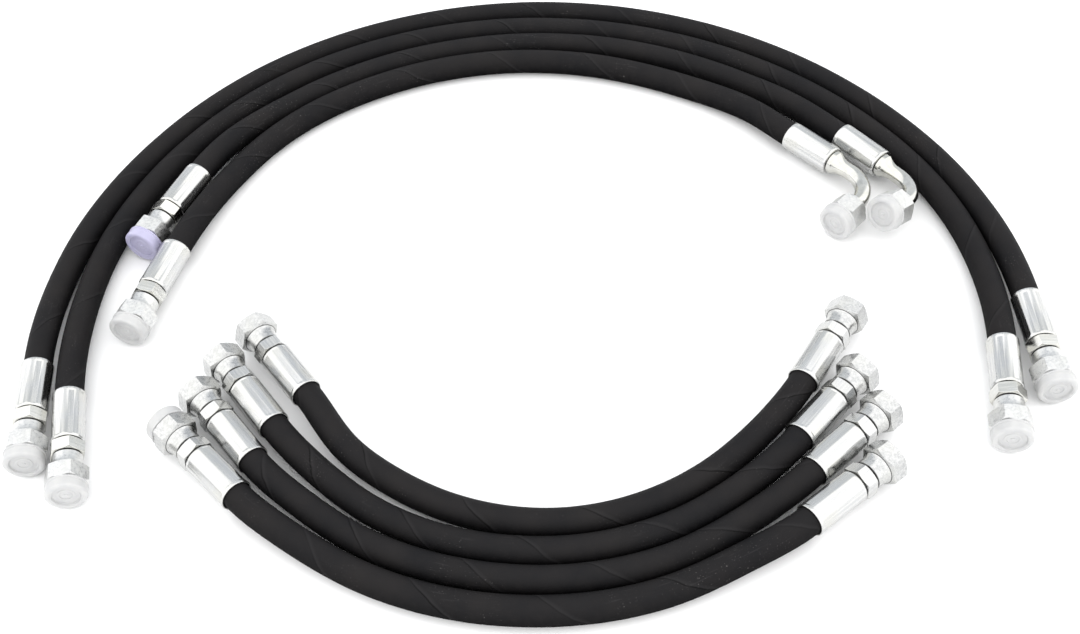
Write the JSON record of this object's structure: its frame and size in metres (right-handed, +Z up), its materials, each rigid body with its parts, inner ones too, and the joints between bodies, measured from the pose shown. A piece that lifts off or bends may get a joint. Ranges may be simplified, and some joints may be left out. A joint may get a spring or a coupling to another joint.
{
  "type": "hydraulic hose assembly",
  "caption": "Set of hydraulic hose assemblies laid in two nested curves, each hose with crimped ferrules and hexagonal swivel nuts, some with swept elbows and push-in dust caps.",
  "frame": {"origin": "centre of the set's bounding box in plan, on the floor it lies on", "axes": "+X to the right along the longest extent, +Y away from the front, from the short hoses to the long ones, +Z up"},
  "size_m": [0.8344, 0.7024, 0.0465],
  "materials": {
    "hose_rubber": "matte, cloth-wrapped cover",
    "zinc_plated_steel": "bright zinc plating",
    "zinc_plated_nut": "grainy bright zinc plating",
    "cap_plastic": "milky translucent"
  },
  "bodies": {
    "long_1": {"long_1_hose": "hose_rubber", "long_1_left_ferrule": "zinc_plated_steel", "long_1_left_stem": "zinc_plated_steel", "long_1_right_ferrule": "zinc_plated_steel", "long_1_right_stem": "zinc_plated_steel"},
    "long_2": {"long_2_hose": "hose_rubber", "long_2_left_ferrule": "zinc_plated_steel", "long_2_left_stem": "zinc_plated_steel", "long_2_right_ferrule": "zinc_plated_steel", "long_2_right_stem": "zinc_plated_steel"},
    "long_3": {"long_3_hose": "hose_rubber", "long_3_left_ferrule": "zinc_plated_steel", "long_3_left_stem": "zinc_plated_steel", "long_3_right_ferrule": "zinc_plated_steel", "long_3_right_elbow": "zinc_plated_steel"},
    "long_4": {"long_4_hose": "hose_rubber", "long_4_left_ferrule": "zinc_plated_steel", "long_4_left_stem": "zinc_plated_steel", "long_4_right_ferrule": "zinc_plated_steel", "long_4_right_elbow": "zinc_plated_steel"},
    "short_1": {"short_1_hose": "hose_rubber", "short_1_left_fitting": "zinc_plated_steel", "short_1_right_fitting": "zinc_plated_steel"},
    "short_2": {"short_2_hose": "hose_rubber", "short_2_left_fitting": "zinc_plated_steel", "short_2_right_fitting": "zinc_plated_steel"},
    "short_3": {"short_3_hose": "hose_rubber", "short_3_left_fitting": "zinc_plated_steel", "short_3_right_fitting": "zinc_plated_steel"},
    "short_4": {"short_4_hose": "hose_rubber", "short_4_left_fitting": "zinc_plated_steel", "short_4_right_fitting": "zinc_plated_steel"},
    "long_1_left_nut": {"long_1_left_nut": "zinc_plated_nut"},
    "long_1_right_nut": {"long_1_right_nut": "zinc_plated_nut"},
    "long_2_left_nut": {"long_2_left_nut": "zinc_plated_nut"},
    "long_2_right_nut": {"long_2_right_nut": "zinc_plated_nut"},
    "long_3_left_nut": {"long_3_left_nut": "zinc_plated_nut"},
    "long_3_right_nut": {"long_3_right_nut": "zinc_plated_nut"},
    "long_4_left_nut": {"long_4_left_nut": "zinc_plated_nut"},
    "long_4_right_nut": {"long_4_right_nut": "zinc_plated_nut"},
    "short_1_left_nut": {"short_1_left_nut": "zinc_plated_nut"},
    "short_1_right_nut": {"short_1_right_nut": "zinc_plated_nut"},
    "short_2_left_nut": {"short_2_left_nut": "zinc_plated_nut"},
    "short_2_right_nut": {"short_2_right_nut": "zinc_plated_nut"},
    "short_3_left_nut": {"short_3_left_nut": "zinc_plated_nut"},
    "short_3_right_nut": {"short_3_right_nut": "zinc_plated_nut"},
    "short_4_left_nut": {"short_4_left_nut": "zinc_plated_nut"},
    "short_4_right_nut": {"short_4_right_nut": "zinc_plated_nut"},
    "long_1_left_cap": {"long_1_left_cap": "cap_plastic"},
    "long_1_right_cap": {"long_1_right_cap": "cap_plastic"},
    "long_2_left_cap": {"long_2_left_cap": "cap_plastic"},
    "long_2_right_cap": {"long_2_right_cap": "cap_plastic"},
    "long_3_left_cap": {"long_3_left_cap": "cap_plastic"},
    "long_3_right_cap": {"long_3_right_cap": "cap_plastic"},
    "long_4_left_cap": {"long_4_left_cap": "cap_plastic"},
    "long_4_right_cap": {"long_4_right_cap": "cap_plastic"},
    "short_4_left_cap": {"short_4_left_cap": "cap_plastic"}
  },
  "joints": [
    {"name": "long_2_lift", "type": "slide", "parent": "long_1", "child": "long_2", "axis": [0, 0, 1], "range_m": [0, 0.06]},
    {"name": "long_3_lift", "type": "slide", "parent": "long_4", "child": "long_3", "axis": [0, 0, 1], "range_m": [0, 0.06]},
    {"name": "long_4_lift", "type": "slide", "parent": "long_1", "child": "long_4", "axis": [0, 0, 1], "range_m": [0, 0.06]},
    {"name": "short_1_lift", "type": "slide", "parent": "long_1", "child": "short_1", "axis": [0, 0, 1], "range_m": [0, 0.06]},
    {"name": "short_2_lift", "type": "slide", "parent": "long_1", "child": "short_2", "axis": [0, 0, 1], "range_m": [0, 0.06]},
    {"name": "short_3_lift", "type": "slide", "parent": "long_1", "child": "short_3", "axis": [0, 0, 1], "range_m": [0, 0.06]},
    {"name": "short_4_lift", "type": "slide", "parent": "long_1", "child": "short_4", "axis": [0, 0, 1], "range_m": [0, 0.06]},
    {"name": "long_1_left_nut_turn", "type": "hinge", "parent": "long_1", "child": "long_1_left_nut", "pos_m": [-0.3978, -0.16446, 0.0176], "axis": [0.0872, -0.9962, 0], "continuous": true},
    {"name": "long_1_right_nut_turn", "type": "hinge", "parent": "long_1", "child": "long_1_right_nut", "pos_m": [0.40045, -0.13519, 0.0176], "axis": [0, -1, 0], "continuous": true},
    {"name": "long_2_left_nut_turn", "type": "hinge", "parent": "long_2", "child": "long_2_left_nut", "pos_m": [-0.3623, -0.19522, 0.0176], "axis": [0.1564, -0.9877, 0], "continuous": true},
    {"name": "long_2_right_nut_turn", "type": "hinge", "parent": "long_2", "child": "long_2_right_nut", "pos_m": [0.36001, -0.18052, 0.0176], "axis": [-0.1564, -0.9877, 0], "continuous": true},
    {"name": "long_3_left_nut_turn", "type": "hinge", "parent": "long_3", "child": "long_3_left_nut", "pos_m": [-0.32503, 0.0594, 0.0176], "axis": [-0.4067, -0.9135, 0], "continuous": true},
    {"name": "long_3_right_nut_turn", "type": "hinge", "parent": "long_3", "child": "long_3_right_nut", "pos_m": [0.31964, 0.03388, 0.02422], "axis": [-0.7343, -0.6407, 0.2244], "continuous": true},
    {"name": "long_4_left_nut_turn", "type": "hinge", "parent": "long_4", "child": "long_4_left_nut", "pos_m": [-0.32596, -0.03669, 0.0176], "axis": [-0.2924, -0.9563, 0], "continuous": true},
    {"name": "long_4_right_nut_turn", "type": "hinge", "parent": "long_4", "child": "long_4_right_nut", "pos_m": [0.2805, 0.0405, 0.0176], "axis": [-0.7071, -0.7071, 0], "continuous": true},
    {"name": "short_1_left_nut_turn", "type": "hinge", "parent": "short_1", "child": "short_1_left_nut", "pos_m": [-0.21849, -0.0933, 0.0176], "axis": [-0.5736, 0.8192, 0], "continuous": true},
    {"name": "short_1_right_nut_turn", "type": "hinge", "parent": "short_1", "child": "short_1_right_nut", "pos_m": [0.23996, -0.10181, 0.0176], "axis": [0.5664, 0.8241, 0], "continuous": true},
    {"name": "short_2_left_nut_turn", "type": "hinge", "parent": "short_2", "child": "short_2_left_nut", "pos_m": [-0.24115, -0.124, 0.0176], "axis": [-0.5736, 0.8192, 0], "continuous": true},
    {"name": "short_2_right_nut_turn", "type": "hinge", "parent": "short_2", "child": "short_2_right_nut", "pos_m": [0.23601, -0.16105, 0.0176], "axis": [0.682, 0.7314, 0], "continuous": true},
    {"name": "short_3_left_nut_turn", "type": "hinge", "parent": "short_3", "child": "short_3_left_nut", "pos_m": [-0.25605, -0.15693, 0.0176], "axis": [-0.6018, 0.7986, 0], "continuous": true},
    {"name": "short_3_right_nut_turn", "type": "hinge", "parent": "short_3", "child": "short_3_right_nut", "pos_m": [0.2463, -0.19665, 0.0176], "axis": [0.7547, 0.6561, 0], "continuous": true},
    {"name": "short_4_left_nut_turn", "type": "hinge", "parent": "short_4", "child": "short_4_left_nut", "pos_m": [-0.26911, -0.19167, 0.0176], "axis": [-0.6691, 0.7431, 0], "continuous": true},
    {"name": "short_4_right_nut_turn", "type": "hinge", "parent": "short_4", "child": "short_4_right_nut", "pos_m": [0.23913, -0.24288, 0.0176], "axis": [0.7986, 0.6018, 0], "continuous": true},
    {"name": "long_1_left_cap_pull", "type": "slide", "parent": "long_1_left_nut", "child": "long_1_left_cap", "axis": [0.0872, -0.9962, 0], "range_m": [0, 0.02]},
    {"name": "long_1_right_cap_pull", "type": "slide", "parent": "long_1_right_nut", "child": "long_1_right_cap", "axis": [0, -1, 0], "range_m": [0, 0.02]},
    {"name": "long_2_left_cap_pull", "type": "slide", "parent": "long_2_left_nut", "child": "long_2_left_cap", "axis": [0.1564, -0.9877, 0], "range_m": [0, 0.02]},
    {"name": "long_2_right_cap_pull", "type": "slide", "parent": "long_2_right_nut", "child": "long_2_right_cap", "axis": [-0.1564, -0.9877, 0], "range_m": [0, 0.02]},
    {"name": "long_3_left_cap_pull", "type": "slide", "parent": "long_3_left_nut", "child": "long_3_left_cap", "axis": [-0.4067, -0.9135, 0], "range_m": [0, 0.02]},
    {"name": "long_3_right_cap_pull", "type": "slide", "parent": "long_3_right_nut", "child": "long_3_right_cap", "axis": [-0.7343, -0.6407, 0.2244], "range_m": [0, 0.02]},
    {"name": "long_4_left_cap_pull", "type": "slide", "parent": "long_4_left_nut", "child": "long_4_left_cap", "axis": [-0.2924, -0.9563, 0], "range_m": [0, 0.02]},
    {"name": "long_4_right_cap_pull", "type": "slide", "parent": "long_4_right_nut", "child": "long_4_right_cap", "axis": [-0.7071, -0.7071, 0], "range_m": [0, 0.02]},
    {"name": "short_4_left_cap_pull", "type": "slide", "parent": "short_4_left_nut", "child": "short_4_left_cap", "axis": [-0.6691, 0.7431, 0], "range_m": [0, 0.02]}
  ]
}
